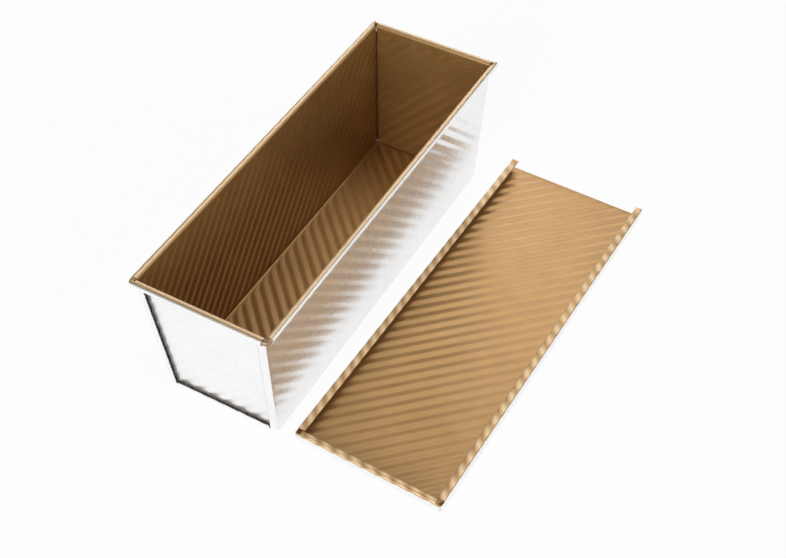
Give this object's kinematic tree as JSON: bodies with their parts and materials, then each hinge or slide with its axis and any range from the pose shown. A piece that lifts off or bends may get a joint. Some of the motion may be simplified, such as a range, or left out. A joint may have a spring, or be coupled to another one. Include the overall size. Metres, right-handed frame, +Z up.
{
  "type": "ridged loaf pan",
  "caption": "Deep rectangular loaf pan of diagonally ridged steel sheet with a wired rolled rim, folded end seams and a slide-on lid lying beside it.",
  "frame": {"origin": "centre of the tin's bottom on the table that it stands on", "axes": "+Z up, +Y along the tin's length away from the viewer, +X towards the lid that lies beside the tin"},
  "size_m": [0.262, 0.3673, 0.1254],
  "materials": {
    "coated_sheet": "satin gold non-stick coating on the inner side, bright bare aluminised steel on the outer side",
    "wire_steel": "drawn steel wire"
  },
  "bodies": {
    "tin": {"body_wrap": "coated_sheet", "front_end_panel": "coated_sheet", "back_end_panel": "coated_sheet", "rim_wire": "wire_steel"},
    "lid": {"lid": "coated_sheet"}
  },
  "joints": [
    {"name": "lid_lift", "type": "slide", "parent": "tin", "child": "lid", "axis": [0, 0, 1], "range_m": [0, 0.16]}
  ]
}
